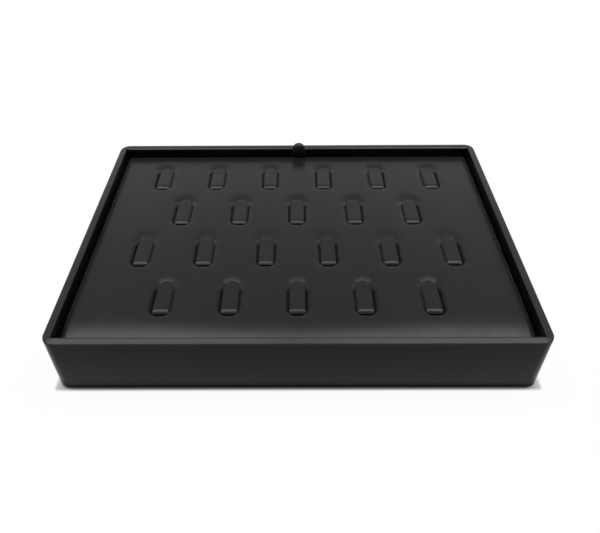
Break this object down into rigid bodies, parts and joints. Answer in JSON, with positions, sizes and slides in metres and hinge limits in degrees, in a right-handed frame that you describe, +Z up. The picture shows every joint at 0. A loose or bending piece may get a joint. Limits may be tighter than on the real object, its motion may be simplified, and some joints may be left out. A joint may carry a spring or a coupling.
{
  "type": "ring display tray",
  "caption": "Shallow black leatherette jewelry tray with a lift-out padded insert that holds rings under staggered rows of sprung clips, and a pull tab at the rear edge.",
  "frame": {"origin": "centre of the tray's footprint on the surface it stands on", "axes": "+X along the tray to the right, +Y to the rear edge with the pull tab, +Z up"},
  "size_m": [0.35, 0.25, 0.0584],
  "materials": {
    "leatherette": "black leatherette with a fine brushed grain, satin",
    "pad_leatherette": "black leatherette with a fine grain, satin",
    "fibreboard": "raw fibreboard",
    "felt": "black felt",
    "lining": "matte black paper",
    "card": "grey-brown card",
    "foam": "open-cell foam",
    "spring_steel": "cold-rolled strip"
  },
  "bodies": {
    "tray": {"base_panel": "fibreboard", "front_wall": "fibreboard", "rear_wall": "fibreboard", "left_wall": "fibreboard", "right_wall": "fibreboard", "outer_wrap": "leatherette", "floor_lining": "lining", "bottom_felt": "felt", "pad_ledges": "lining"},
    "pad": {"pad_board": "fibreboard", "pad_foam": "foam", "pad_cover": "pad_leatherette", "pad_backing": "card", "clip_tails": "spring_steel", "pull_tab_tail": "pad_leatherette"},
    "pull_tab": {"pull_tab": "pad_leatherette"},
    "clip_a1": {"clip_cover_a1": "pad_leatherette", "clip_spring_a1": "spring_steel"},
    "clip_a2": {"clip_cover_a2": "pad_leatherette", "clip_spring_a2": "spring_steel"},
    "clip_a3": {"clip_cover_a3": "pad_leatherette", "clip_spring_a3": "spring_steel"},
    "clip_a4": {"clip_cover_a4": "pad_leatherette", "clip_spring_a4": "spring_steel"},
    "clip_a5": {"clip_cover_a5": "pad_leatherette", "clip_spring_a5": "spring_steel"},
    "clip_a6": {"clip_cover_a6": "pad_leatherette", "clip_spring_a6": "spring_steel"},
    "clip_b1": {"clip_cover_b1": "pad_leatherette", "clip_spring_b1": "spring_steel"},
    "clip_b2": {"clip_cover_b2": "pad_leatherette", "clip_spring_b2": "spring_steel"},
    "clip_b3": {"clip_cover_b3": "pad_leatherette", "clip_spring_b3": "spring_steel"},
    "clip_b4": {"clip_cover_b4": "pad_leatherette", "clip_spring_b4": "spring_steel"},
    "clip_b5": {"clip_cover_b5": "pad_leatherette", "clip_spring_b5": "spring_steel"},
    "clip_c1": {"clip_cover_c1": "pad_leatherette", "clip_spring_c1": "spring_steel"},
    "clip_c2": {"clip_cover_c2": "pad_leatherette", "clip_spring_c2": "spring_steel"},
    "clip_c3": {"clip_cover_c3": "pad_leatherette", "clip_spring_c3": "spring_steel"},
    "clip_c4": {"clip_cover_c4": "pad_leatherette", "clip_spring_c4": "spring_steel"},
    "clip_c5": {"clip_cover_c5": "pad_leatherette", "clip_spring_c5": "spring_steel"},
    "clip_c6": {"clip_cover_c6": "pad_leatherette", "clip_spring_c6": "spring_steel"},
    "clip_d1": {"clip_cover_d1": "pad_leatherette", "clip_spring_d1": "spring_steel"},
    "clip_d2": {"clip_cover_d2": "pad_leatherette", "clip_spring_d2": "spring_steel"},
    "clip_d3": {"clip_cover_d3": "pad_leatherette", "clip_spring_d3": "spring_steel"},
    "clip_d4": {"clip_cover_d4": "pad_leatherette", "clip_spring_d4": "spring_steel"},
    "clip_d5": {"clip_cover_d5": "pad_leatherette", "clip_spring_d5": "spring_steel"}
  },
  "joints": [
    {"name": "pad_lift", "type": "slide", "parent": "tray", "child": "pad", "axis": [0, 0, 1], "range_m": [0, 0.06]},
    {"name": "pull_tab_fold", "type": "hinge", "parent": "pad", "child": "pull_tab", "pos_m": [0.0019, 0.1151, 0.04089], "axis": [1, 0, 0], "range_deg": [0, 75], "stiffness_Nm_per_rad": 0.005},
    {"name": "clip_a1_flex", "type": "hinge", "parent": "pad", "child": "clip_a1", "pos_m": [-0.126, 0.0995, 0.0407], "axis": [-1, 0, 0], "range_deg": [0, 20], "stiffness_Nm_per_rad": 0.1},
    {"name": "clip_a2_flex", "type": "hinge", "parent": "pad", "child": "clip_a2", "pos_m": [-0.0756, 0.0995, 0.0407], "axis": [-1, 0, 0], "range_deg": [0, 20], "stiffness_Nm_per_rad": 0.1},
    {"name": "clip_a3_flex", "type": "hinge", "parent": "pad", "child": "clip_a3", "pos_m": [-0.0252, 0.0995, 0.0407], "axis": [-1, 0, 0], "range_deg": [0, 20], "stiffness_Nm_per_rad": 0.1},
    {"name": "clip_a4_flex", "type": "hinge", "parent": "pad", "child": "clip_a4", "pos_m": [0.0252, 0.0995, 0.0407], "axis": [-1, 0, 0], "range_deg": [0, 20], "stiffness_Nm_per_rad": 0.1},
    {"name": "clip_a5_flex", "type": "hinge", "parent": "pad", "child": "clip_a5", "pos_m": [0.0756, 0.0995, 0.0407], "axis": [-1, 0, 0], "range_deg": [0, 20], "stiffness_Nm_per_rad": 0.1},
    {"name": "clip_a6_flex", "type": "hinge", "parent": "pad", "child": "clip_a6", "pos_m": [0.126, 0.0995, 0.0407], "axis": [-1, 0, 0], "range_deg": [0, 20], "stiffness_Nm_per_rad": 0.1},
    {"name": "clip_b1_flex", "type": "hinge", "parent": "pad", "child": "clip_b1", "pos_m": [-0.1008, 0.0476, 0.0407], "axis": [-1, 0, 0], "range_deg": [0, 20], "stiffness_Nm_per_rad": 0.1},
    {"name": "clip_b2_flex", "type": "hinge", "parent": "pad", "child": "clip_b2", "pos_m": [-0.0504, 0.0476, 0.0407], "axis": [-1, 0, 0], "range_deg": [0, 20], "stiffness_Nm_per_rad": 0.1},
    {"name": "clip_b3_flex", "type": "hinge", "parent": "pad", "child": "clip_b3", "pos_m": [0, 0.0476, 0.0407], "axis": [-1, 0, 0], "range_deg": [0, 20], "stiffness_Nm_per_rad": 0.1},
    {"name": "clip_b4_flex", "type": "hinge", "parent": "pad", "child": "clip_b4", "pos_m": [0.0504, 0.0476, 0.0407], "axis": [-1, 0, 0], "range_deg": [0, 20], "stiffness_Nm_per_rad": 0.1},
    {"name": "clip_b5_flex", "type": "hinge", "parent": "pad", "child": "clip_b5", "pos_m": [0.1008, 0.0476, 0.0407], "axis": [-1, 0, 0], "range_deg": [0, 20], "stiffness_Nm_per_rad": 0.1},
    {"name": "clip_c1_flex", "type": "hinge", "parent": "pad", "child": "clip_c1", "pos_m": [-0.126, -0.0043, 0.0407], "axis": [-1, 0, 0], "range_deg": [0, 20], "stiffness_Nm_per_rad": 0.1},
    {"name": "clip_c2_flex", "type": "hinge", "parent": "pad", "child": "clip_c2", "pos_m": [-0.0756, -0.0043, 0.0407], "axis": [-1, 0, 0], "range_deg": [0, 20], "stiffness_Nm_per_rad": 0.1},
    {"name": "clip_c3_flex", "type": "hinge", "parent": "pad", "child": "clip_c3", "pos_m": [-0.0252, -0.0043, 0.0407], "axis": [-1, 0, 0], "range_deg": [0, 20], "stiffness_Nm_per_rad": 0.1},
    {"name": "clip_c4_flex", "type": "hinge", "parent": "pad", "child": "clip_c4", "pos_m": [0.0252, -0.0043, 0.0407], "axis": [-1, 0, 0], "range_deg": [0, 20], "stiffness_Nm_per_rad": 0.1},
    {"name": "clip_c5_flex", "type": "hinge", "parent": "pad", "child": "clip_c5", "pos_m": [0.0756, -0.0043, 0.0407], "axis": [-1, 0, 0], "range_deg": [0, 20], "stiffness_Nm_per_rad": 0.1},
    {"name": "clip_c6_flex", "type": "hinge", "parent": "pad", "child": "clip_c6", "pos_m": [0.126, -0.0043, 0.0407], "axis": [-1, 0, 0], "range_deg": [0, 20], "stiffness_Nm_per_rad": 0.1},
    {"name": "clip_d1_flex", "type": "hinge", "parent": "pad", "child": "clip_d1", "pos_m": [-0.1008, -0.0562, 0.0407], "axis": [-1, 0, 0], "range_deg": [0, 20], "stiffness_Nm_per_rad": 0.1},
    {"name": "clip_d2_flex", "type": "hinge", "parent": "pad", "child": "clip_d2", "pos_m": [-0.0504, -0.0562, 0.0407], "axis": [-1, 0, 0], "range_deg": [0, 20], "stiffness_Nm_per_rad": 0.1},
    {"name": "clip_d3_flex", "type": "hinge", "parent": "pad", "child": "clip_d3", "pos_m": [0, -0.0562, 0.0407], "axis": [-1, 0, 0], "range_deg": [0, 20], "stiffness_Nm_per_rad": 0.1},
    {"name": "clip_d4_flex", "type": "hinge", "parent": "pad", "child": "clip_d4", "pos_m": [0.0504, -0.0562, 0.0407], "axis": [-1, 0, 0], "range_deg": [0, 20], "stiffness_Nm_per_rad": 0.1},
    {"name": "clip_d5_flex", "type": "hinge", "parent": "pad", "child": "clip_d5", "pos_m": [0.1008, -0.0562, 0.0407], "axis": [-1, 0, 0], "range_deg": [0, 20], "stiffness_Nm_per_rad": 0.1}
  ]
}
